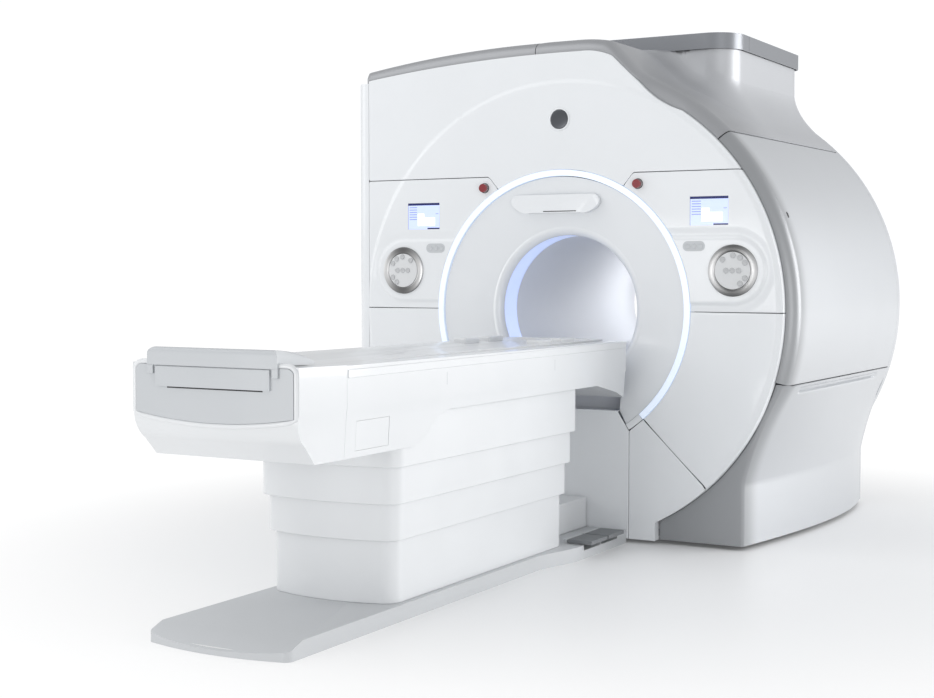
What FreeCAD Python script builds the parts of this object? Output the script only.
"""Whole-body MRI scanner with a docked patient table.

The bore axis runs along Y. The origin is the floor point beneath the isocentre: +X is to the
right of someone who faces the bore from the table, +Y runs from the table into the bore and
+Z is up. All sizes are millimetres and live in the sheet "dims". The gantry's front plane is
at y = -gantry_depth / 2, and the word "depth" below means the distance behind that plane.
"""
import FreeCAD, Part
import math
import os
import re

SIZES = {
    # gantry
    "iso_height": 1070, "gantry_depth": 1750, "bore_radius": 350, "liner_wall": 6,
    "cover_wall": 6, "cover_rim": 50, "seam_gap": 3, "joint_gap": 0.8, "floor_gap": 20,
    "ring_outer": 654, "ring_inner": 626, "ring_end_deg": 49, "ring_proud": 3,
    "funnel_outer": 622, "funnel_depth": 115, "band_end": 240, "liner_end": 1690,
    "disc_radius": 1083, "rim_radius": 1137, "rear_radius": 1150, "rim_start": 35, "rim_end": 105,
    "shell_end": 1700, "upper_seam_deg": 45, "lower_seam_deg": 16.5,
    "middle_seam": 1067, "control_seam": 1700, "dock_height": 608, "dock_half_width": 361,
    "left_edge": 1065, "column_edge": 1140, "column_depth": 180, "column_top": 2185,
    "hood_top": 2325, "hood_seam": 139, "skirt_front": 60,
    "neck_half_width": 600, "neck_front": 650, "neck_back": 1680, "neck_top": 2328,
    "cap_overhang": 20, "cap_top": 2405, "cap_seam": 850,
    # magnet
    "vessel_outer": 950, "vessel_inner": 470, "vessel_wall": 10, "vessel_front": 150,
    "vessel_back": 1600, "shield_outer": 909, "shield_inner": 505, "shield_wall": 4,
    "helium_outer": 858, "helium_inner": 560, "helium_wall": 8, "shield_inset": 40,
    "helium_inset": 90, "rod_radius": 15, "rod_circle": 700, "fit": 0.3, "coil_height": 70,
    "gradient_inner": 390, "rf_inner": 362, "rf_wall": 12, "turret_radius": 150,
    "turret_depth": 1150, "turret_top": 2180, "foot_spacing": 1040, "foot_width": 240,
    "foot_plate": 30, "foot_front": 250, "foot_back": 1500, "anchor_radius": 13.5,
    "anchor_spacing_x": 1200, "anchor_spacing_y": 1050,
    # controls
    "estop_across": 398, "estop_height": 1648, "estop_radius": 20,
    "screen_across": 740, "screen_height": 1520, "screen_width": 180, "screen_tall": 128,
    "dial_across": 855, "dial_height": 1254, "dial_radius": 115, "dial_face": 83,
    "speaker_across": 671, "speaker_height": 1363, "speaker_width": 105, "speaker_tall": 45,
    "emblem_height": 1958, "emblem_radius": 49,
    # table
    "table_half_width": 345, "table_foot": 2540, "cover_split": 2272, "table_end": 4,
    "table_top": 950, "table_end_top": 930, "table_wall": 10, "belly_bottom": 630,
    "belly_back": 1840, "body_bottom": 745, "deck_top": 860, "channel_half_width": 247,
    "cradle_half_width": 240, "cradle_thick": 80, "cradle_foot": 2330, "cradle_head": 30,
    "bridge_thick": 60, "roller_radius": 40, "roller_width": 120, "roller_place": 1000,
    "shaft_radius": 8, "shaft_fit": 0.05, "cylinder_radius": 70,
    "cylinder_wall": 10, "cylinder_top": 430, "ram_bottom": 350, "ram_fit": 0.06,
    "lift_place": 1190, "skirt_half_width": 270, "skirt_step": 17, "skirt_wall": 5,
    "skirt_foot": 1880, "skirt_head": 490, "skirt_bow": 40, "skirt_corner": 60,
    "skirt_drop": 135, "skirt_lap": 30, "skirt_lip": 12, "skirt_base": 290, "base_top": 60,
    "base_half_width": 295, "base_nose": 2540, "base_bow": 35, "base_wide": 350,
    "pedal_length": 165, "pedal_width": 120, "pedal_thick": 18, "pedal_inner": 265,
    "pedal_first": 450, "pedal_pitch": 178, "pedal_sink": 24, "grip_half_width": 270,
    "grip_top": 1005, "grip_depth": 190, "latch_tall": 68, "latch_top": 941, "end_half": 325,
    "door_length": 206, "door_tall": 100, "door_start": 2208, "door_bottom": 652, "door_thick": 6,
    "latch_thick": 6.7,
}

doc = FreeCAD.newDocument("mri_scanner")
sheet = doc.addObject("Spreadsheet::Sheet", "dims")
for row, (alias, number) in enumerate(SIZES.items(), start=1):
    sheet.set(f"A{row}", alias)
    sheet.set(f"B{row}", str(number))
    sheet.setAlias(f"B{row}", alias)
doc.recompute()
size = {alias: float(sheet.get(alias)) for alias in SIZES}
FRONT = "-gantry_depth / 2"
Y_TURN = FreeCAD.Rotation(FreeCAD.Vector(1, 0, 0), -90)
X_TURN = FreeCAD.Rotation(FreeCAD.Vector(0, 1, 0), 90)
parts = []


def bind(thing, prop, text):
    """Bind one property to an expression whose plain words are cells of the sheet."""
    thing.setExpression(prop, re.sub(r"[a-z]\w*", lambda word: "dims." + word.group(0), str(text)))


def place(thing, x, y, z):
    """Bind a placement's three coordinates."""
    for axis, text in zip("xyz", (x, y, z)):
        bind(thing, f"Placement.Base.{axis}", text)


def at(depth):
    """Expression for the y of a plane that lies this far behind the gantry's front plane."""
    return f"{FRONT} + ({depth})"


def box(name, low, high):
    """A box between two corners, each three expressions; the middle ones are depths."""
    thing = doc.addObject("Part::Box", name)
    for side, start, end in zip(("Length", "Width", "Height"), low, high):
        bind(thing, side, f"({end}) - ({start})")
    place(thing, low[0], at(low[1]), low[2])
    return thing


def cylinder(name, radius, start, end, x="0", z="iso_height"):
    """A cylinder along Y between two depths, on the bore's axis unless told otherwise."""
    thing = doc.addObject("Part::Cylinder", name)
    thing.Placement.Rotation = Y_TURN
    bind(thing, "Radius", radius)
    bind(thing, "Height", f"({end}) - ({start})")
    place(thing, x, at(start), z)
    return thing


def post(name, radius, x, depth, low, high):
    """A cylinder along Z."""
    thing = doc.addObject("Part::Cylinder", name)
    bind(thing, "Radius", radius)
    bind(thing, "Height", f"({high}) - ({low})")
    place(thing, x, at(depth), low)
    return thing


def axle(name, radius, start, end, depth, z):
    """A cylinder along X between two values of x."""
    thing = doc.addObject("Part::Cylinder", name)
    thing.Placement.Rotation = X_TURN
    bind(thing, "Radius", radius)
    bind(thing, "Height", f"({end}) - ({start})")
    place(thing, start, at(depth), z)
    return thing


def cut(name, base, *tools):
    """The base without the tools."""
    tool = tools[0] if len(tools) == 1 else fuse(name + "_tools", *tools)
    thing = doc.addObject("Part::Cut", name)
    thing.Base = base
    thing.Tool = tool
    return thing


def fuse(name, *pieces):
    """Several solids as one."""
    thing = doc.addObject("Part::MultiFuse", name)
    thing.Shapes = list(pieces)
    return thing


def common(name, first, second):
    """What two solids share."""
    thing = doc.addObject("Part::Common", name)
    thing.Base = first
    thing.Tool = second
    return thing


def ring(name, outer, inner, start, end):
    """A tube about the bore's axis."""
    return cut(name, cylinder(name + "_outer", outer, start, end),
               cylinder(name + "_inner", inner, start, end))


def mirror(name, source):
    """The mirror image across the plane x = 0."""
    thing = doc.addObject("Part::Mirroring", name)
    thing.Source = source
    thing.Normal = (1, 0, 0)
    return thing


def outline(name, points):
    """A closed sketch; a point with three numbers is the middle of an arc to the next point."""
    sketch = doc.addObject("Sketcher::SketchObject", name)
    corners = [FreeCAD.Vector(point[0], point[1], 0) for point in points]
    count = len(points)
    index = 0
    while index < count:
        here = corners[index]
        following = (index + 1) % count
        if len(points[following]) == 3:
            end = corners[(index + 2) % count]
            arc = Part.Arc(here, corners[following], end)
            sketch.addGeometry(arc, False)
            index += 2
        else:
            sketch.addGeometry(Part.LineSegment(here, corners[following]), False)
            index += 1
    return sketch


def slab(name, points, start, end):
    """An outline in x and z, extruded between two depths."""
    sketch = outline(name + "_outline", points)
    sketch.Placement.Rotation = FreeCAD.Rotation(FreeCAD.Vector(1, 0, 0), 90)
    place(sketch, "0", at(start), "0")
    thing = doc.addObject("Part::Extrusion", name)
    thing.Base = sketch
    thing.DirMode = "Custom"
    thing.Dir = (0, 1, 0)
    thing.Solid = True
    bind(thing, "LengthFwd", f"({end}) - ({start})")
    return thing


def side_slab(name, points, start, end):
    """An outline in depth and z, extruded between two values of x."""
    sketch = outline(name + "_outline", points)
    sketch.Placement.Rotation = FreeCAD.Rotation(FreeCAD.Vector(1, 1, 1), 120)
    place(sketch, start, FRONT, "0")
    thing = doc.addObject("Part::Extrusion", name)
    thing.Base = sketch
    thing.DirMode = "Custom"
    thing.Dir = (1, 0, 0)
    thing.Solid = True
    bind(thing, "LengthFwd", f"({end}) - ({start})")
    return thing


def floor_slab(name, points, low, high):
    """An outline in x and depth, extruded between two heights."""
    sketch = outline(name + "_outline", points)
    place(sketch, "0", FRONT, low)
    thing = doc.addObject("Part::Extrusion", name)
    thing.Base = sketch
    thing.DirMode = "Custom"
    thing.Dir = (0, 0, 1)
    thing.Solid = True
    bind(thing, "LengthFwd", f"({high}) - ({low})")
    return thing


def turned(name, points, start_deg="0", sweep="360"):
    """An outline in radius and depth, turned about the bore's axis from +X towards +Z."""
    sketch = outline(name + "_outline", points)
    sketch.Placement.Rotation = FreeCAD.Rotation(FreeCAD.Vector(0, -1, 0), 1)
    place(sketch, "0", FRONT, "iso_height")
    bind(sketch, "Placement.Rotation.Angle", start_deg)
    thing = doc.addObject("Part::Revolution", name)
    thing.Source = sketch
    thing.Axis = (0, -1, 0)
    bind(thing, "Base.z", "iso_height")
    bind(thing, "Angle", sweep)
    thing.Solid = True
    return thing


def keep(name, thing):
    """Register one finished sub-part under the name of its file."""
    thing.Label = name
    parts.append(thing)
    return thing

s = size
ISO = s["iso_height"]
WALL = s["cover_wall"]


def on_circle(radius, degrees):
    """The x and z of a point on a circle about the bore's axis."""
    angle = math.radians(degrees)
    return radius * math.cos(angle), ISO + radius * math.sin(angle)


def circle_height(radius, across):
    """How far above or below the axis a circle crosses a vertical line."""
    return math.sqrt(radius ** 2 - across ** 2)


# --- Magnet: vessels, coils, feet -----------------------------------------------------------

def annular_can(name, outer, inner, wall, start, end):
    """A closed annular can: two tubes and two end rings welded into one hollow piece."""
    return cut(name, ring(name + "_solid", outer, inner, start, end),
               ring(name + "_hollow", f"{outer} - {wall}", f"{inner} + {wall}",
                    f"{start} + {wall}", f"{end} - {wall}"))


def rod_set(name, radius, spans):
    """Four parallel rods at each end of the magnet, spread about the bore."""
    rods = []
    for end, (start, stop) in enumerate(spans):
        for quarter in range(4):
            sine = math.sin(math.radians(45 + 90 * quarter))
            cosine = math.cos(math.radians(45 + 90 * quarter))
            rods.append(cylinder(f"{name}_{end}_{quarter}", radius, start, stop,
                                 f"rod_circle * {cosine:.6f}", f"iso_height + rod_circle * {sine:.6f}"))
    return fuse(name, *rods)


INSIDE_FRONT = "vessel_front + vessel_wall"
INSIDE_BACK = "vessel_back - vessel_wall"
can = annular_can("vessel_can", "vessel_outer", "vessel_inner", "vessel_wall",
                  "vessel_front", "vessel_back")
turret = post("turret_neck", "turret_radius", "0", "turret_depth",
              "iso_height + vessel_outer - 2 * vessel_wall", "turret_top")
keep("vacuum_vessel", fuse("vessel_welded", can, cut("turret_trim", turret, cylinder(
    "turret_trimmer", "vessel_outer - vessel_wall / 2", "vessel_front", "vessel_back"))))

shield = annular_can("shield_can", "shield_outer", "shield_inner", "shield_wall",
                     "vessel_front + shield_inset", "vessel_back - shield_inset")
rod_spans = [(INSIDE_FRONT, "vessel_front + helium_inset"),
             ("vessel_back - helium_inset", INSIDE_BACK)]
keep("thermal_shield", cut("shield_pierced", shield, rod_set("rod_hole", "rod_radius + fit", rod_spans)))
keep("suspension_rods", rod_set("rod", "rod_radius", rod_spans))
keep("helium_vessel", annular_can("helium_can", "helium_outer", "helium_inner", "helium_wall",
                                  "vessel_front + helium_inset", "vessel_back - helium_inset"))

windings = []
for index, (middle, length) in enumerate([(0.09, 190), (0.28, 130), (0.43, 80),
                                          (0.57, 80), (0.72, 130), (0.91, 190)]):
    centre = f"vessel_front + helium_inset + {middle} * (vessel_back - vessel_front - 2 * helium_inset)"
    windings.append(ring(f"winding_{index}", "helium_inner + helium_wall + fit + coil_height",
                         "helium_inner + helium_wall + fit",
                         f"{centre} - {length / 2}", f"{centre} + {length / 2}"))
keep("main_coils", fuse("windings", *windings))
keep("gradient_coil", ring("gradient_tube", "vessel_inner - fit", "gradient_inner",
                           "vessel_front + 50", "vessel_back - 50"))
rf_tube = ring("rf_tube", "rf_inner + rf_wall", "rf_inner", "vessel_front + 120", "vessel_back - 120")
rf_rings = [ring(f"rf_ring_{start}", "gradient_inner - fit", "bore_radius + liner_wall + fit",
                 f"vessel_front + {start}", f"vessel_front + {start} + 30") for start in (120, 1300)]
keep("rf_body_coil", fuse("rf_assembly", rf_tube, *rf_rings))

head = fuse("head_solid",
            post("head_flange", "turret_radius - 20", "0", "turret_depth", "turret_top", "turret_top + 20"),
            post("head_barrel", "60", "0", "turret_depth", "turret_top + 20", "turret_top + 150"),
            box("head_motor", ("40", "turret_depth - 45", "turret_top + 60"),
                ("160", "turret_depth + 45", "turret_top + 140")))
keep("cold_head", head)

FOOT_X = "foot_spacing / 2"
foot_pieces = [box("foot_plate_box", (f"{FOOT_X} - foot_width / 2", "foot_front", "0"),
                   (f"{FOOT_X} + foot_width / 2", "foot_back", "foot_plate")),
               box("foot_web", (f"{FOOT_X} - 20", "foot_front", "foot_plate"),
                   (f"{FOOT_X} + 20", "foot_back", "iso_height / 2"))]
for index in range(4):
    rib = f"foot_front + 30 + {index} * (foot_back - foot_front - 90) / 3"
    foot_pieces.append(box(f"foot_rib_{index}", (f"{FOOT_X} - 90", rib, "foot_plate"),
                           (f"{FOOT_X} + 90", f"{rib} + 30", "iso_height / 2")))
anchors = []
ANCHOR_MID = "gantry_depth / 2"
for index, sign in enumerate(("-", "+")):
    anchors.append(post(f"anchor_{index}", "anchor_radius", "anchor_spacing_x / 2",
                        f"{ANCHOR_MID} {sign} anchor_spacing_y / 2", "-1", "foot_plate + 1"))
foot = cut("foot_right", fuse("foot_welded", *foot_pieces),
           cylinder("foot_saddle", "vessel_outer", "vessel_front - 50", "vessel_back + 50"), *anchors)
keep("magnet_feet", fuse("feet", foot, mirror("foot_left", foot)))


def shell_radius(depth):
    """Outer radius of the body covers at a depth."""
    share = (depth - s["rim_end"]) / (s["shell_end"] - s["rim_end"])
    return s["rim_radius"] + share * (s["rear_radius"] - s["rim_radius"])


FRAME_START = s["cover_rim"]
frame_pieces = [ring("frame_inner_hoop", "ring_outer + 30", "ring_inner - 20", "cover_rim", "cover_rim + 30"),
                ring("frame_front_hoop", "disc_radius - cover_wall + 2", "vessel_outer + 60",
                     "cover_rim", "cover_rim + 30")]
for name, depth in (("front_band", 190), ("rear_band", 1660)):
    band = shell_radius(depth) - WALL - 1
    lowest = f"{on_circle(s['rim_radius'], -s['lower_seam_deg'])[1] + 10:.3f}"
    frame_pieces.append(cut(
        name, ring(name + "_hoop", f"{band:.3f}", "vessel_outer + 60", str(depth), str(depth + 30)),
        box(name + "_trim", ("-1300", str(depth - 1), "-200"), ("1300", str(depth + 31), lowest))))
for index, degrees in enumerate((38, 142, 190, 350)):
    x, z = on_circle(s["vessel_outer"] + 85, degrees)
    frame_pieces.append(cylinder(f"frame_tube_{index}", "25.3", "cover_rim + 5", "1688",
                                 f"{x:.3f}", f"{z:.3f}"))
for index, degrees in enumerate((0, 90, 180)):
    spoke = box(f"spoke_{index}", ("ring_outer", "cover_rim", "iso_height - 30"),
                ("vessel_outer + 70", "cover_rim + 30", "iso_height + 30"))
    turn = doc.addObject("Part::Compound", f"spoke_turned_{index}")
    turn.Links = [spoke]
    x, z = on_circle(0, 0)
    turn.Placement = FreeCAD.Placement(FreeCAD.Vector(0, 0, 0), FreeCAD.Rotation(
        FreeCAD.Vector(0, -1, 0), degrees), FreeCAD.Vector(x, 0, ISO))
    frame_pieces.append(turn)
for side in (-1, 1):
    for height in (ISO - 20, ISO + 300):
        across = circle_height(s["vessel_outer"], height - ISO + 20) - 15
        low = (f"{min(side * across, side * (s['vessel_outer'] + 65)):.3f}", "190", str(height))
        high = (f"{max(side * across, side * (s['vessel_outer'] + 65)):.3f}", "220", str(height + 40))
        frame_pieces.append(box(f"frame_tab_{side + 1}_{height:.0f}", low, high))
keep("cover_frame", cut("frame_trim", fuse("frame_welded", *frame_pieces),
                        cylinder("frame_clear", "vessel_outer + fit", "vessel_front - 5", "vessel_back + 5"),
                        box("frame_floor", ("-2000", "0", "-500"), ("2000", "2000", "foot_plate + 10"))))


# --- Front covers ---------------------------------------------------------------------------

PANEL_TOP = s["hood_top"] - 57
SEAM = s["seam_gap"] / 2
DISC = s["disc_radius"]
FLOOR = s["floor_gap"]
CORNER_X = 490


def front_points(inset):
    """The white front's outline: square on the left, round on the right, sloping at the top."""
    slope = 0.7 * inset
    low = circle_height(DISC - inset, CORNER_X - inset)
    return [(-s["left_edge"] + inset, FLOOR + inset),
            (-s["left_edge"] + inset, PANEL_TOP - 70 - inset),
            (-424, PANEL_TOP - 11 - inset, 0), (105, PANEL_TOP - inset),
            (206 - slope / 2, PANEL_TOP - 11 - inset, 0), (262 - slope, PANEL_TOP - 32 - slope),
            (405 - slope, PANEL_TOP - 170 - slope),
            (495 - slope, PANEL_TOP - 246 - slope, 0),
            (600 - slope, ISO + circle_height(DISC - inset, 600 - slope)),
            (DISC - inset, ISO, 0), (CORNER_X - inset, ISO - low),
            (CORNER_X - inset, FLOOR + inset)]


def front_cover(name, region):
    """One front cover: the part of the shared front shell inside its own seams."""
    return common(name, ringed_shell, slab(name + "_region", region, "-50", "cover_rim + 1"))


front_plate = cut("front_plate", slab("front_block", front_points(0), "0", "cover_rim"),
                  slab("front_inside", front_points(WALL), "cover_wall", "cover_rim + 1"))
inner_rim = ring("front_inner_rim", "ring_outer + seam_gap / 2 + cover_wall", "ring_outer + seam_gap / 2",
                 "0", "cover_rim")
ringed_shell = cut("ringed_shell", fuse("rimmed_plate", front_plate, inner_rim),
                   cylinder("ring_hole", "ring_outer + seam_gap / 2", "-1", "cover_rim + 1"))

MIDDLE = s["middle_seam"]
UPPER = s["control_seam"]
DOCK_Z = s["dock_height"]
DOCK_X = s["dock_half_width"]
EDGE = 1300
RING_END = on_circle(s["ring_outer"] + 3, -s["ring_end_deg"])
KNEE = (735, ISO - circle_height(DISC, 735) - 8)


def shifted(points, dx, dz):
    """The same outline moved, to open a seam on one side."""
    return [(point[0] + dx, point[1] + dz) for point in points]


def both_sides(name, region, holes=(), extras=()):
    """A cover on the right and its mirror image on the left, each cut by the outline."""
    right = front_cover(name + "_right_shell", region)
    left = front_cover(name + "_left_shell", [(-x, z) for x, z in reversed(region)])
    if extras:
        right = fuse(name + "_right_with", right, *extras)
        left = fuse(name + "_left_with", left, *[mirror(item.Name + "_left", item) for item in extras])
    if holes:
        right = cut(name + "_right_cut", right, *holes)
        left = cut(name + "_left_cut", left, *[mirror(item.Name + "_left", item) for item in holes])
    keep(name + "_right", right)
    keep(name + "_left", left)


emblem = cylinder("emblem_boss", "emblem_radius", "-4", "cover_wall", "0", "emblem_height")
keep("front_top_cover", fuse("front_top_with", front_cover("front_top_shell", [
    (-EDGE, UPPER + SEAM), (-375, UPPER + SEAM), (-324, 1639 + SEAM), (0, 1300), (324, 1639 + SEAM),
    (375, UPPER + SEAM), (EDGE, UPPER + SEAM), (EDGE, 2500), (-EDGE, 2500)]), emblem))

screen_hole = box("screen_hole", ("screen_across - screen_width / 2 - fit", "-1",
                                  "screen_height - screen_tall / 2 - fit"),
                  ("screen_across + screen_width / 2 + fit", "cover_wall + 1",
                   "screen_height + screen_tall / 2 + fit"))
dial_hole = cylinder("dial_hole", "dial_face - 10 + fit", "-1", "cover_wall + 1",
                     "dial_across", "dial_height")
stem_hole = cylinder("stem_hole", "estop_radius - 6 + fit", "-20", "cover_wall + 1",
                     "estop_across", "estop_height")
collar = cut("collar",
             cylinder("collar_outer", "estop_radius + 6", "-7", "1", "estop_across", "estop_height"),
             cylinder("collar_inner", "estop_radius + 1", "-8", "0", "estop_across", "estop_height"))
both_sides("control_cover", [(324, 1639 - SEAM), (375, UPPER - SEAM), (EDGE, UPPER - SEAM),
                             (EDGE, MIDDLE + SEAM), (300, MIDDLE + SEAM), (300, 1500)],
           (screen_hole, dial_hole, stem_hole), (collar,))
both_sides("front_side_cover", [(300, MIDDLE - SEAM), (300, 700), (RING_END[0], RING_END[1] + SEAM),
                                (718, 294 + SEAM), (KNEE[0], KNEE[1] + SEAM), (EDGE, KNEE[1] + SEAM),
                                (EDGE, MIDDLE - SEAM)])
both_sides("front_bottom_cover", [(RING_END[0] - SEAM, RING_END[1] - SEAM), (DOCK_X + SEAM, 518),
                                  (DOCK_X + SEAM, 0), (EDGE, 0), (EDGE, KNEE[1] - SEAM),
                                  (KNEE[0], KNEE[1] - SEAM), (718, 294 - SEAM)])
centre_region = [(DOCK_X - SEAM, 0), (DOCK_X - SEAM, 518), (300, DOCK_Z), (-300, DOCK_Z),
                 (-DOCK_X + SEAM, 518), (-DOCK_X + SEAM, 0)]
centre_sides = [box(f"centre_side_{side}", (low, "0", "floor_gap"), (high, "cover_rim", "518"))
                for side, low, high in (("left", f"{SEAM} - dock_half_width",
                                          f"{SEAM + WALL} - dock_half_width"),
                                        ("right", f"dock_half_width - {SEAM + WALL}",
                                         f"dock_half_width - {SEAM}"))]
centre_wall = box("centre_wall", ("-300", "0", "dock_height - cover_wall"),
                  ("300", "cover_rim", "dock_height"))
keep("front_centre_cover", fuse("front_centre", centre_wall, *centre_sides, common(
    "front_centre_plate", front_plate, slab("front_centre_region", centre_region, "-50", "cover_rim + 1"))))

keep("light_ring", turned("ring_band", [
    (s["ring_inner"], -s["ring_proud"]), (s["ring_outer"], -s["ring_proud"]),
    (s["ring_outer"], s["cover_rim"]), (s["ring_inner"], s["cover_rim"])],
    "-ring_end_deg", "180 + 2 * ring_end_deg"))

BORE = s["bore_radius"]
LINER = BORE + s["liner_wall"]
FUNNEL = s["funnel_outer"]
LIP = s["funnel_depth"]
funnel_skin = turned("funnel_skin", [
    (FUNNEL, 8), (BORE + 42, LIP - 37), (BORE + 11, LIP - 23, 0), (BORE, LIP), (LINER, LIP),
    (LINER + 9, LIP - 18, 0), (BORE + 46, LIP - 31), (FUNNEL - WALL, 15), (FUNNEL - WALL, s["cover_rim"]),
    (FUNNEL, s["cover_rim"])])
keep("funnel", cut("funnel_docked", funnel_skin,
                   slab("funnel_dock", [(301, DOCK_Z + 2), (DOCK_X + SEAM, 519), (DOCK_X + SEAM, 200),
                                        (-DOCK_X - SEAM, 200), (-DOCK_X - SEAM, 519), (-301, DOCK_Z + 2)],
                        "-1", "100"),
                   box("dock_slot", ("-dock_half_width + 61", "0", "dock_height - 8"),
                       ("dock_half_width - 61", "110", "iso_height - bore_radius - 20"))))
keep("bore_light_band", ring("band_tube", "bore_radius + liner_wall", "bore_radius",
                             "funnel_depth", "band_end"))
keep("bore_liner", ring("liner_tube", "bore_radius + liner_wall", "bore_radius", "band_end", "liner_end"))
visor_block = slab("visor_block", [(-222, 1610), (-262, 1590, 0), (-268, 1566), (-225, 1528, 0), (-180, 1525),
                                   (120, 1525), (165, 1528, 0), (208, 1566), (202, 1590, 0), (162, 1610)],
                   "10", "90")
visor_back = turned("visor_back", [(FUNNEL, 8 - s["fit"]), (BORE + 42, LIP - 37 - s["fit"]),
                                   (BORE, LIP - 37), (BORE, 200), (FUNNEL, 200)])
keep("camera_visor", cut("visor_seated", visor_block, visor_back))


# --- Body covers ----------------------------------------------------------------------------

RIM_IN = DISC + SEAM
RIM = s["rim_radius"]
REAR = s["rear_radius"]
RIM_START = s["rim_start"]
RIM_END = s["rim_end"]
SHELL_END = s["shell_end"]
COLUMN = s["column_depth"]
GAP_DEG = math.degrees(SEAM / RIM)


def rim_profile(inset):
    """The body covers' section in radius and depth: rounded front edge, straight side."""
    return [(RIM_IN, RIM_START + inset), (RIM - 13 - 0.8 * inset, RIM_START + 22 + 0.8 * inset, 0),
            (RIM - inset, RIM_END), (REAR - inset, SHELL_END)]


def shell_profile(start=None):
    """A closed section of the cover's wall, from the front edge or from a given depth."""
    if start is None:
        inner = [(REAR - WALL, SHELL_END), (RIM - WALL, RIM_END),
                 (RIM - 13 - 0.8 * WALL, RIM_START + 22 + 0.8 * WALL, 0), (RIM_IN, RIM_START + WALL)]
        return rim_profile(0) + inner
    radius = shell_radius(start)
    return [(radius, start), (REAR, SHELL_END), (REAR - WALL, SHELL_END), (radius - WALL, start)]


def skirt_reach(depth):
    """Half width of the base at a depth: it bows outward to a widest place behind the middle."""
    front, widest, rear, peak = 888, 1006, 953, 1150
    start = s["skirt_front"]
    if depth < peak:
        return front + (widest - front) * math.sin(math.pi / 2 * max(depth - start, 0) / (peak - start))
    return widest - (widest - rear) * ((depth - peak) / (SHELL_END - peak)) ** 2


def skirt_curve(depth, inset):
    """The lower side's outline, floor to seam: upright, then sweeping out to the round body."""
    low = skirt_reach(depth) - inset
    x, z = on_circle(shell_radius(max(depth, RIM_END)) - (25 if depth < RIM_END else 0),
                     -s["lower_seam_deg"] - GAP_DEG)
    x = x - inset
    return [(low, FLOOR), (low, 300), (low + 0.36 * (x - low), 0.47 * z + 0.53 * 300, 0), (x, z)]


def skirt_shell(name, depths):
    """The lower side cover: a wall lofted through its outline at several depths."""
    sections = []
    for depth in depths:
        outer = skirt_curve(depth, 0)
        inner = skirt_curve(depth, WALL)
        sketch = outline(f"{name}_{depth:.0f}", outer + inner[::-1])
        sketch.Placement.Rotation = FreeCAD.Rotation(FreeCAD.Vector(1, 0, 0), 90)
        place(sketch, "0", at(str(depth)), "0")
        sections.append(sketch)
    thing = doc.addObject("Part::Loft", name)
    thing.Sections = sections
    thing.Solid = True
    return thing


UPPER_START = f"-lower_seam_deg + {GAP_DEG:.4f}"
UPPER_SWEEP = f"upper_seam_deg + lower_seam_deg - {2 * GAP_DEG:.4f}"
keep("side_cover_upper_right", turned("upper_right", shell_profile(), UPPER_START, UPPER_SWEEP))
keep("side_cover_upper_left", mirror("upper_left", turned(
    "upper_left_source", shell_profile(COLUMN + 2), UPPER_START, UPPER_SWEEP)))

SKIRT_FRONT = s["skirt_front"]
seam_x, seam_z = on_circle(RIM_IN, -s["lower_seam_deg"] - GAP_DEG)
low_z = ISO - circle_height(RIM_IN, CORNER_X + SEAM)
arc_x, arc_z = on_circle(RIM_IN, -42)
facet = slab("facet", [(seam_x, seam_z), (arc_x, arc_z, 0), (CORNER_X + SEAM, low_z),
                       (CORNER_X + SEAM, FLOOR)]
             + skirt_curve(SKIRT_FRONT, 0), "skirt_front", "skirt_front + cover_wall")
STATIONS = [300, 600, 900, 1150, 1425, SHELL_END]
keep("side_cover_lower_right", fuse("lower_right", skirt_shell(
    "lower_right_skirt", [SKIRT_FRONT] + STATIONS), facet))
keep("side_cover_lower_left", mirror("lower_left", skirt_shell("lower_left_skirt", [COLUMN + 2] + STATIONS)))

NECK = s["neck_half_width"]
NECK_TOP = s["neck_top"]
HOOD = s["hood_top"]


def hood_points(inset):
    """Section of the raised hood between the front and the turret."""
    slope = 0.7 * inset
    return [(-640, 1700), (640, 1700), (640, 1985 - inset), (503 - slope, HOOD - 262 - slope, 0),
            (405 - slope, HOOD - 188 - slope), (238 - slope / 2, HOOD - 18 - inset),
            (170, HOOD - 6 - inset, 0), (85, HOOD - inset), (-85, HOOD - inset), (-170, HOOD - 6 - inset, 0),
            (-238 + slope / 2, HOOD - 18 - inset), (-405 + slope, HOOD - 188 - slope),
            (-503 + slope, HOOD - 262 - slope, 0), (-640, 1985 - inset)]


def neck_points(inset):
    """Section of the turret's neck: upright sides flaring into the round body."""
    side = NECK - inset
    return [(side, NECK_TOP + (1 if inset else 0)), (side, 2090), (side + 32, 2005, 0),
            (side + 137, 1945), (side + 100, 1750), (-side - 100, 1750), (-side - 137, 1945),
            (-side - 32, 2005, 0), (-side, 2090), (-side, NECK_TOP + (1 if inset else 0))]


TOP_START = f"upper_seam_deg + {GAP_DEG:.4f}"
TOP_SWEEP = f"180 - 2 * upper_seam_deg - {2 * GAP_DEG:.4f}"
top_solid = fuse("top_solid",
                 turned("top_round", [(0, RIM_START)] + rim_profile(0) + [(0, SHELL_END)],
                        TOP_START, TOP_SWEEP),
                 slab("hood_block", hood_points(0), "20", "neck_front + 10"),
                 slab("neck_block", neck_points(0), "neck_front", "neck_back"))
top_hollow = fuse("top_hollow",
                  turned("top_round_inner", [(0, 0), (RIM_IN, 0)] + rim_profile(WALL)
                         + [(REAR - WALL, SHELL_END + 1), (0, SHELL_END + 1)],
                         "upper_seam_deg - 5", "190 - 2 * upper_seam_deg"),
                  slab("hood_inner", hood_points(WALL), "cover_rim - 5", "neck_front + 4"),
                  slab("hood_mouth", front_points(-SEAM), "0", "cover_rim - 4"),
                  slab("neck_inner", neck_points(WALL), "neck_front + cover_wall", "neck_back - cover_wall"))
wedge_edge = 1500
wedge_tip = ISO + SEAM * math.sqrt(2)
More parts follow.
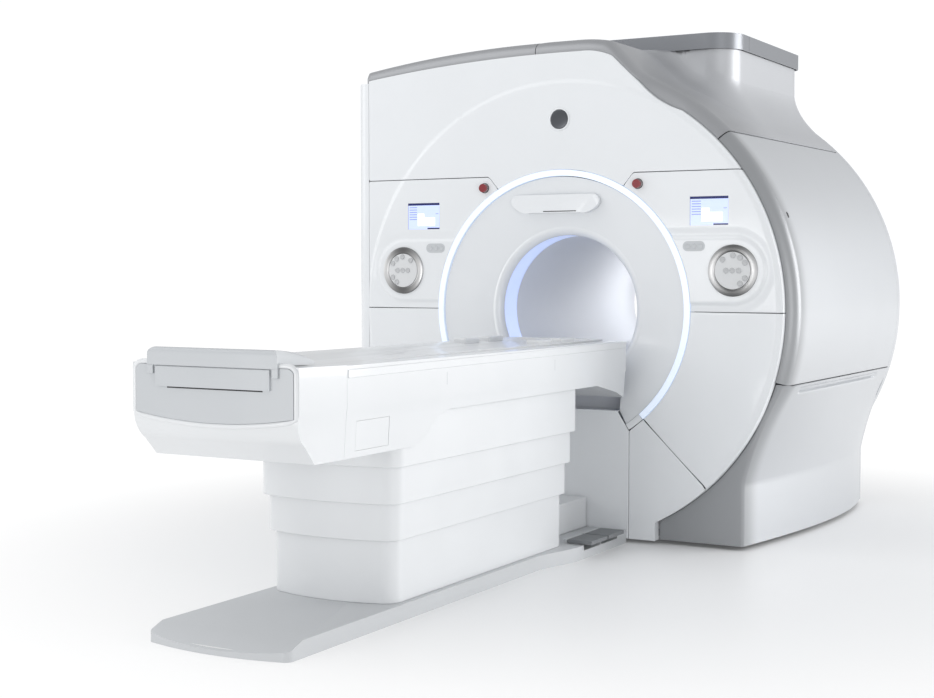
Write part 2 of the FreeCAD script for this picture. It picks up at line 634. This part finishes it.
top_wedge = slab("top_wedge", [(0, wedge_tip), (wedge_edge, wedge_tip + wedge_edge),
                               (-wedge_edge, wedge_tip + wedge_edge)], "0", "shell_end")
hood_left = box("hood_left", ("-1300", "0", "1500"),
                ("-hood_seam + seam_gap / 2", "column_depth + 2", "2500"))
keep("top_cover", cut("top_trimmed", common("top_in_wedge", cut("top_shell", top_solid, top_hollow),
                                            top_wedge), hood_left))


def strip_points(inset):
    """Outline of the strip above the square left shoulder."""
    end = -s["hood_seam"] - SEAM
    return [(-s["left_edge"] - 26 + inset, s["column_top"] + 2),
            (-s["left_edge"] - 26 + inset, HOOD - 80 - inset), (-560, HOOD - 18 - inset, 0),
            (end, HOOD - 2 - inset), (end, s["column_top"] + 2)]


strip_tongue = box("strip_tongue", ("-600", "cover_rim + fit", "column_top + 10"),
                   ("-300", "cover_rim + fit + cover_wall", "hood_top - 24"))
strip_shell = cut("strip_shell", slab("strip_block", strip_points(0), "20", "column_depth"),
                  slab("strip_inner", strip_points(WALL), "cover_rim - 4", "column_depth - cover_wall"),
                  slab("strip_mouth", front_points(-SEAM), "0", "cover_rim - 3.9"),
                  box("strip_open", ("-left_edge - 20", "cover_rim", "column_top - 50"),
                      ("-hood_seam + 10", "column_depth - cover_wall", "column_top + 8")))
keep("top_strip_left", fuse("strip", strip_tongue, strip_shell))


def column_points(inset):
    """Plan of the rounded left edge, in x and depth."""
    inner = -s["left_edge"] - SEAM
    outer = -s["column_edge"] + inset
    return [(inner, 8 + inset), (inner - 12, 8 + inset), (outer + 14, 27 + inset, 0), (outer, 78),
            (outer, COLUMN - inset), (inner + (1 if inset else 0), COLUMN - inset)]


column_shell = cut("column_shell", floor_slab("column_block", column_points(0), "floor_gap", "column_top"),
                   floor_slab("column_inner", column_points(WALL), "floor_gap + cover_wall",
                              "column_top - cover_wall"))
backing = cut("backing", box("backing_plate", ("-column_edge + 3", "column_depth - cover_wall", "floor_gap"),
                             ("-700", "column_depth", "column_top")),
              cylinder("backing_round", f"{shell_radius(COLUMN) + 1:.3f}", "column_depth - 20",
                       "column_depth + 1"),
              slab("backing_skirt", [(-x, z, *arc) for x, z, *arc in skirt_curve(COLUMN, -1)]
                   + [(-600, 700), (-600, FLOOR)], "column_depth - 20", "column_depth + 1"))
tongues = [box(f"column_tongue_{side}", ("-left_edge - 22", "cover_rim + fit", low),
               ("-left_edge + 4", "cover_rim + fit + cover_wall", high))
           for side, low, high in (("upper", "iso_height + 230", "column_top - 60"),
                                   ("lower", "floor_gap + 60", "iso_height - 230"))]
column_arm = box("column_arm", ("-left_edge - 22", "cover_rim + fit", "floor_gap + 60"),
                 ("-left_edge - 16", "column_depth - 1", "column_top - 60"))
keep("left_column", fuse("column", column_shell, backing, column_arm, *tongues))


def cap_points(start, end, corner, inset):
    """Plan of half the turret's cap, in x and depth; the rounded corners are on one end."""
    side = NECK + s["cap_overhang"] - inset
    near = start + (inset if corner > 0 else -1 if inset else 0)
    far = end - (inset if corner < 0 else -1 if inset else 0)
    turn = abs(corner) - inset
    bend = turn * (1 - math.sqrt(0.5))
    if corner > 0:
        return [(side, far), (side, near + turn), (side - bend, near + bend, 0), (side - turn, near),
                (turn - side, near), (bend - side, near + bend, 0), (-side, near + turn), (-side, far)]
    return [(side, near), (side, far - turn), (side - bend, far - bend, 0), (side - turn, far),
            (turn - side, far), (bend - side, far - bend, 0), (-side, far - turn), (-side, near)]


CAP_FRONT = s["neck_front"] - s["cap_overhang"]
CAP_BACK = s["neck_back"] + s["cap_overhang"]
CAP_SEAM = s["cap_seam"]
for name, start, end, corner in (("turret_cap_front", CAP_FRONT, CAP_SEAM - SEAM, 150),
                                 ("turret_cap_rear", CAP_SEAM + SEAM, CAP_BACK, -80)):
    keep(name, cut(name + "_shell", floor_slab(name + "_block", cap_points(start, end, corner, 0),
                                               "neck_top + fit", "cap_top"),
                   floor_slab(name + "_inner", cap_points(start, end, corner, WALL),
                              "neck_top - 1", "cap_top - cover_wall")))
rear_outer = fuse("rear_outer",
                  cylinder("rear_round", "rear_radius", "shell_end + joint_gap", "gantry_depth"),
                  slab("rear_skirt", skirt_curve(SHELL_END, 0)
                       + [(-x, z, *arc) for x, z, *arc in reversed(skirt_curve(SHELL_END, 0))],
                       "shell_end + joint_gap", "gantry_depth"))
rear_inner = fuse("rear_inner", cylinder("rear_round_inner", "rear_radius - cover_wall", "shell_end",
                                         "gantry_depth - cover_wall"),
                  slab("rear_skirt_inner", skirt_curve(SHELL_END, WALL)
                       + [(-x, z, *arc) for x, z, *arc in reversed(skirt_curve(SHELL_END, WALL))],
                       "shell_end", "gantry_depth - cover_wall"))
DEPTH = s["gantry_depth"]
LINER_END = s["liner_end"] + s["fit"]
rear_funnel = turned("rear_funnel", [(BORE, LINER_END), (LINER, LINER_END), (LINER + 120, DEPTH - WALL),
                                     (LINER + 120, DEPTH), (BORE + 120, DEPTH)])
below_floor_gap = box("below_floor_gap", ("-2000", "0", "-500"), ("2000", "2000", "floor_gap"))
rear_hole = cylinder("rear_hole", "bore_radius + liner_wall + 120", "shell_end", "gantry_depth + 1")
rear_shell = cut("rear_shell", rear_outer, rear_inner, rear_hole, below_floor_gap)
keep("rear_cover", fuse("rear_with_funnel", rear_shell, rear_funnel))


# --- Controls on the front ------------------------------------------------------------------

def dial_piece(name, radius, start, end, x="dial_across", z="dial_height"):
    """A short cylinder on a dial's axis."""
    return cylinder(name, radius, start, end, x, z)


key_spots = [(-42, 42)] + [(52 * math.sin(math.radians(turn)), 52 * math.cos(math.radians(turn)))
                           for turn in (5, 45, 85)] + [(-30, 0), (-2, 0), (24, 6), (12, -46), (44, -30)]
keys = [dial_piece(f"key_{index}", "9", "-13", "-9", f"dial_across + {x:.2f}", f"dial_height + {z:.2f}")
        for index, (x, z) in enumerate(key_spots)]
keypad = fuse("keypad", dial_piece("keypad_face", "dial_face", "-10", "-fit"),
              dial_piece("keypad_back", "dial_face - 10", "-fit", "20"), *keys)
keep("dial_keypads", fuse("keypads", keypad, mirror("keypad_left", keypad)))
dial = cut("dial_right", dial_piece("dial_rim", "dial_radius", "-12", "-fit"),
           dial_piece("dial_bore", "dial_face + fit", "-13", "0"))
keep("dial_ring_right", dial)
keep("dial_ring_left", mirror("dial_left", dial))
estop = fuse("estop_right",
             cylinder("estop_head", "estop_radius", "-22", "-8", "estop_across", "estop_height"),
             cylinder("estop_stem", "estop_radius - 6", "-8", "30", "estop_across", "estop_height"))
keep("estop_button_right", estop)
keep("estop_button_left", mirror("estop_left", estop))
screen = box("screen_right", ("screen_across - screen_width / 2", "-1", "screen_height - screen_tall / 2"),
             ("screen_across + screen_width / 2", "25", "screen_height + screen_tall / 2"))
keep("screens", fuse("screen_pair", screen, mirror("screen_left", screen)))
PILL_X = s["speaker_across"]
PILL_Z = s["speaker_height"]
PILL_R = s["speaker_tall"] / 2
PILL_L = s["speaker_width"] / 2 - PILL_R
pill = slab("pill", [(PILL_X - PILL_L, PILL_Z - PILL_R), (PILL_X + PILL_L, PILL_Z - PILL_R),
                     (PILL_X + PILL_L + PILL_R, PILL_Z, 0), (PILL_X + PILL_L, PILL_Z + PILL_R),
                     (PILL_X - PILL_L, PILL_Z + PILL_R), (PILL_X - PILL_L - PILL_R, PILL_Z, 0)], "-4", "0")
keep("intercom_panels", fuse("pills", pill, mirror("pill_left", pill)))


# --- Patient table --------------------------------------------------------------------------

FOOT = -s["table_foot"]
SPLIT = -s["cover_split"]
END = -s["table_end"]
TOP = s["table_top"]
BELLY = s["belly_bottom"]
BOTTOM = s["body_bottom"]
TABLE_WALL = s["table_wall"]
bridge_block = fuse("bridge_block",
                    common("bridge_span", box("bridge_box", ("-bore_radius", "funnel_depth + 10",
                                                             "deck_top - bridge_thick"),
                                              ("bore_radius", "liner_end", "deck_top")),
                           cylinder("bridge_round", "bore_radius - fit", "funnel_depth", "liner_end")),
                    common("bridge_tongue", box("tongue_box", ("-cradle_half_width", "20", "deck_top - 25"),
                                                ("cradle_half_width", "funnel_depth + 12", "deck_top")),
                           cylinder("tongue_round", "bore_radius - fit", "0", "funnel_depth + 20")))
keep("bore_bridge", cut("bridge", bridge_block, box(
    "bridge_hollow", ("-cradle_half_width + 20", "funnel_depth + 20", "deck_top - bridge_thick - 1"),
    ("cradle_half_width - 20", "liner_end + 1", "deck_top - 10"))))

HALF = "table_half_width"
SIDE_X = "table_half_width - table_wall"


def body_points(inset):
    """The table body's side view, in depth and height: the belly, then the slimmer middle."""
    low = BELLY + inset
    middle = BOTTOM + inset
    back = -s["belly_back"]
    return [(SPLIT + inset, TOP - 8), (SPLIT + inset, low), (back, low), (back + 75, low + 22, 0),
            (back + 120, low + 60), (back + 185, low + 100, 0), (back + 300, middle), (-300, middle),
            (-90, middle - 42), (END - inset, middle - 72), (END - inset, s["table_end_top"])]


body = side_slab("body_block", body_points(0), f"-{HALF}", HALF)
inner_top = "deck_top - table_wall"
body_inner = common("body_inner", side_slab("body_inner_block", body_points(TABLE_WALL),
                                            f"-{HALF} + table_wall", SIDE_X),
                    box("body_inner_limit", ("-1000", "-cover_split", "0"), ("1000", "0", inner_top)))
channel = box("channel", ("-channel_half_width", "-cover_split - 10", "deck_top"),
              ("channel_half_width", "0", "table_top + 50"))
humps = [box(f"hump_{side}", (low, "-cover_split + table_wall", "deck_top - table_wall - 1"),
             (high, "-table_end - table_wall", "table_end_top - table_wall - 2"))
         for side, low, high in (("left", f"-{HALF} + table_wall", "-channel_half_width - table_wall"),
                                 ("right", "channel_half_width + table_wall", SIDE_X))]
pit = box("pedestal_pit", ("-skirt_half_width - 3 * skirt_step - 6",
                           "-skirt_foot - 3 * skirt_step - skirt_bow - 8", "0"),
          ("skirt_half_width + 3 * skirt_step + 6", "-skirt_head + 3 * skirt_step + 8", inner_top))
roller_slot = box("roller_slot",
                  ("-roller_width / 2 - 12", "-roller_place - roller_radius - 6", "deck_top - 30"),
                  ("roller_width / 2 + 12", "-roller_place + roller_radius + 6", "deck_top + 1"))
DOOR_END = "-door_start + door_length"
door_hole = box("door_hole", ("table_half_width - table_wall - 5", "-door_start - 0.8", "door_bottom - 0.8"),
                ("table_half_width + 1", f"{DOOR_END} + 0.8", "door_bottom + door_tall + 0.8"))
keep("table_chassis", cut("chassis", body, body_inner, channel, pit, roller_slot, door_hole, *humps))
DOOR_PIVOT = f"{DOOR_END} - door_thick / 2"
keep("access_door", fuse("door",
                         box("door_panel", ("table_half_width - door_thick", "-door_start", "door_bottom"),
                             ("table_half_width", DOOR_PIVOT, "door_bottom + door_tall")),
                         post("door_knuckle", "door_thick / 2", "table_half_width - door_thick / 2",
                              DOOR_PIVOT, "door_bottom", "door_bottom + door_tall")))


def foot_points(inset):
    """The foot cover's side view, in depth and height, ending at the seam with the body."""
    end = SPLIT - s["joint_gap"]
    return [(end + (1 if inset else 0), TOP - 6 - (6 if inset else 0)), (FOOT + inset, TOP - inset),
            (FOOT + inset, 765), (FOOT + 12 + inset, 726 + inset * 0.6, 0),
            (FOOT + 45 + inset / 2, 690 + inset),
            (FOOT + 100, BELLY + inset), (end + (1 if inset else 0), BELLY + inset)]


foot_channel = box("foot_channel", ("-channel_half_width", "-cradle_foot - 6", "deck_top"),
                   ("channel_half_width", "-cover_split", "table_top + 50"))
foot_floor = box("foot_floor", ("-channel_half_width", "-cradle_foot - 6", "deck_top - 8"),
                 ("channel_half_width", "-cover_split - joint_gap", "deck_top"))
keep("foot_cover", fuse("foot_cover_floored", cut(
    "foot_shell", side_slab("foot_block", foot_points(0), f"-{HALF}", HALF),
    side_slab("foot_inner", foot_points(TABLE_WALL), f"-{HALF} + table_wall", SIDE_X), foot_channel),
    foot_floor))
END_X = s["end_half"]
keep("end_plate", slab("end_plate_block", [(-END_X, 785), (0, 758, 0), (END_X, 785), (END_X, 930),
                                           (END_X - 12, 942, 0), (END_X - 25, 945), (25 - END_X, 945),
                                           (12 - END_X, 942, 0), (-END_X, 930)],
                       "-table_foot - 6", "-table_foot"))
GRIP = "grip_half_width"
grip = fuse("grip",
            box("grip_top_plate", (f"-{GRIP}", "-table_foot - 14", "grip_top - 16"),
                (GRIP, "-table_foot + grip_depth", "grip_top")),
            box("grip_front", (f"-{GRIP}", "-table_foot - 14", "latch_top + 1"),
                (GRIP, "-table_foot - 2", "grip_top - 8")),
            box("grip_leg_left", (f"-{GRIP}", "-table_foot - 6", "table_top - 6"),
                (f"-{GRIP} + 30", "-table_foot + grip_depth", "grip_top - 8")),
            box("grip_leg_right", (f"{GRIP} - 30", "-table_foot - 6", "table_top - 6"),
                (GRIP, "-table_foot + grip_depth", "grip_top - 8")))
keep("handle", cut("handle_seated", grip, side_slab("grip_seat", foot_points(0), "-400", "400"),
                   slab("grip_clear", [(-400, 700), (400, 700), (400, 945.05), (-400, 945.05)],
                        "-table_foot - 6.1", "-table_foot + 1")))
LATCH_REACH = "grip_half_width - 34"
LATCH_PIVOT = "latch_top - latch_thick / 2"
keep("latch_lever", fuse("latch",
                         box("latch_blade",
                             (f"-({LATCH_REACH})", "-table_foot - 13", "latch_top - latch_tall"),
                             (LATCH_REACH, "-table_foot - 13 + latch_thick", LATCH_PIVOT)),
                         axle("latch_knuckle", "latch_thick / 2", f"-({LATCH_REACH})", LATCH_REACH,
                              "-table_foot - 13 + latch_thick / 2", LATCH_PIVOT)))

cradle_block = box("cradle_block", ("-cradle_half_width", "-cradle_foot", "deck_top + fit"),
                   ("cradle_half_width", "-cradle_head", "deck_top + cradle_thick"))
keep("cradle", cut("cradle_dished", cradle_block, cylinder(
    "cradle_dish", "900", "-cradle_foot + 40", "-cradle_head - 40", "0", "deck_top + cradle_thick + 880")))

ROLLER_Z = "deck_top + fit - 0.2 - roller_radius"
keep("drive_roller", fuse("roller",
                          axle("roller_tyre", "roller_radius", "-roller_width / 2", "roller_width / 2",
                               "-roller_place", ROLLER_Z),
                          axle("roller_shaft", "shaft_radius", "-roller_width / 2 - 14",
                               "roller_width / 2 + 14", "-roller_place", ROLLER_Z)))
ears = [box(f"ear_{side}", (low, "-roller_place - 30", "deck_top - 80"),
            (high, "-roller_place + 30", inner_top))
        for side, low, high in (("left", "-roller_width / 2 - 20", "-roller_width / 2 - 2"),
                                ("right", "roller_width / 2 + 2", "roller_width / 2 + 20"))]
keep("drive_motor", cut("motor", fuse("motor_solid", *ears, axle(
    "motor_barrel", "roller_radius - 12", "roller_width / 2 + 19", "roller_width / 2 + 140",
    "-roller_place", ROLLER_Z)),
    axle("shaft_bore", "shaft_radius + shaft_fit", "-roller_width / 2 - 30", "roller_width / 2 + 16",
         "-roller_place", ROLLER_Z),
    roller_slot))


def skirt_plan(step, inset):
    """Plan of one telescoping shell, in x and depth: bowed foot end, rounded corners."""
    half = s["skirt_half_width"] + step * s["skirt_step"] - inset
    foot_end = -s["skirt_foot"] - step * s["skirt_step"] + inset
    head_end = -s["skirt_head"] + step * s["skirt_step"] - inset
    turn = s["skirt_corner"] - inset
    bend = turn * (1 - math.sqrt(0.5))
    return [(half, head_end - turn), (half, foot_end + turn), (half - bend, foot_end + bend - 4, 0),
            (half - turn, foot_end - 8), (0, foot_end - s["skirt_bow"], 0), (turn - half, foot_end - 8),
            (bend - half, foot_end + bend - 4, 0), (-half, foot_end + turn), (-half, head_end - turn),
            (bend - half, head_end - bend, 0), (turn - half, head_end), (half - turn, head_end),
            (half - bend, head_end - bend, 0)]


for step in range(4):
    low = "base_top" if step == 0 else f"skirt_base + {step - 1} * skirt_drop"
    high = f"skirt_base + {step} * skirt_drop + skirt_lap"
    if step == 3:
        high = inner_top
    name = f"skirt_{step + 1}"
    lip_top = f"{low} + skirt_lip"
    bored = [floor_slab(name + "_inner", skirt_plan(step, s["skirt_wall"]),
                        lip_top if step else f"{low} - 1", f"{high} + 1")]
    if step:
        bored.append(floor_slab(name + "_lip", skirt_plan(step - 1, -s["fit"]), f"{low} - 1", lip_top))
    keep(name, cut(name + "_shell", floor_slab(name + "_block", skirt_plan(step, 0), low, high), *bored))

keep("lift_cylinder", cut("lift_tube", post("lift_tube_block", "cylinder_radius", "0", "-lift_place",
                                            "base_top", "cylinder_top"),
                          post("lift_tube_bore", "cylinder_radius - cylinder_wall", "0", "-lift_place",
                               "base_top + cylinder_wall", "cylinder_top + 1")))
keep("lift_ram", fuse("ram", post("ram_rod", "cylinder_radius - cylinder_wall - ram_fit", "0", "-lift_place",
                                  "ram_bottom", "deck_top - table_wall - 10"),
                      box("ram_plate", ("-150", "-lift_place - 120", "deck_top - table_wall - 20"),
                          ("150", "-lift_place + 120", inner_top))))

BASE = s["base_half_width"]
WIDE = s["base_wide"]
DOCKED = -s["joint_gap"]
NOSE = -s["base_nose"]


def base_plan(inset):
    """Plan of the floor plate, in x and depth: bowed nose, wider at the pedals."""
    return [(BASE - inset, NOSE + 30 + inset), (BASE - 9 - inset, NOSE + 9 + inset, 0),
            (BASE - 30 - inset, NOSE + inset), (0, NOSE - s["base_bow"] + inset, 0),
            (30 - BASE + inset, NOSE + inset), (9 - BASE + inset, NOSE + 9 + inset, 0),
            (inset - BASE, NOSE + 30 + inset), (inset - BASE, -770), (inset - WIDE, -540 + inset),
            (inset - WIDE, DOCKED - inset), (WIDE - inset, DOCKED - inset), (WIDE - inset, -540 + inset),
            (BASE - inset, -770)]


KNUCKLE = "(pedal_thick / 2 - 1)"
pedal_places = [f"-pedal_first + {index} * pedal_pitch" for index in range(2)]
wells = [box(f"pedal_well_{index}", ("pedal_inner - 1.5", f"{start} - 4", "base_top - pedal_sink"),
             ("base_wide + 1", f"{start} + pedal_length + 4", "base_top + 1"))
         for index, start in enumerate(pedal_places)]
hinge_ribs = [box(f"pedal_rib_{index}", ("pedal_inner - 16", start, "base_top - 1"),
                  ("pedal_inner - 0.6", f"{start} + pedal_length", "base_top + pedal_thick"))
              for index, start in enumerate(pedal_places)]
nose_wedge = side_slab("nose_wedge", [(NOSE - 100, 18), (NOSE - 35, 18), (NOSE + 80, s["base_top"] + 0.01),
                                      (NOSE + 80, s["base_top"] + 20), (NOSE - 100, s["base_top"] + 20)],
                       "-400", "400")
floor_hollow = floor_slab("base_hollow", base_plan(12), "-1", "base_top - pedal_sink - 12")
keep("base_plate", cut("base", fuse("base_solid", floor_slab("base_block", base_plan(0), "0", "base_top"),
                                    *hinge_ribs), floor_hollow, nose_wedge, *wells))
for index, (name, start) in enumerate(zip(("pedal_rear", "pedal_front"), pedal_places)):
    end = f"{start} + pedal_length"
    keep(name, fuse(name + "_hinged",
                    box(name + "_plate", (f"pedal_inner + {KNUCKLE}", start, "base_top + 2"),
                        ("pedal_inner + pedal_width", end, "base_top + pedal_thick")),
                    cylinder(name + "_knuckle", KNUCKLE, start, end, f"pedal_inner + {KNUCKLE}",
                             f"base_top + pedal_thick - {KNUCKLE}")))
keep("floor_cover_box", cut("hinge_box", box("hinge_box_block", ("-150", "-435", "base_top"),
                                             ("150", "-8", "200")),
                            box("hinge_box_inner", ("-144", "-429", "base_top - 1"), ("144", "-14", "194"))))


# --- Checks and files -----------------------------------------------------------------------

doc.recompute()
for thing in doc.Objects:
    if "Invalid" in thing.State or "Error" in thing.State:
        raise RuntimeError(f"{thing.Label} did not rebuild: {thing.State}")
for thing in parts:
    if thing.Shape.isNull() or not thing.Shape.isValid() or not thing.Shape.Solids:
        raise RuntimeError(f"{thing.Label} has no valid solid")
os.makedirs("parts", exist_ok=True)
for thing in parts:
    thing.Shape.exportStep(f"parts/{thing.Label}.step")
print(len(parts), "sub-parts written")
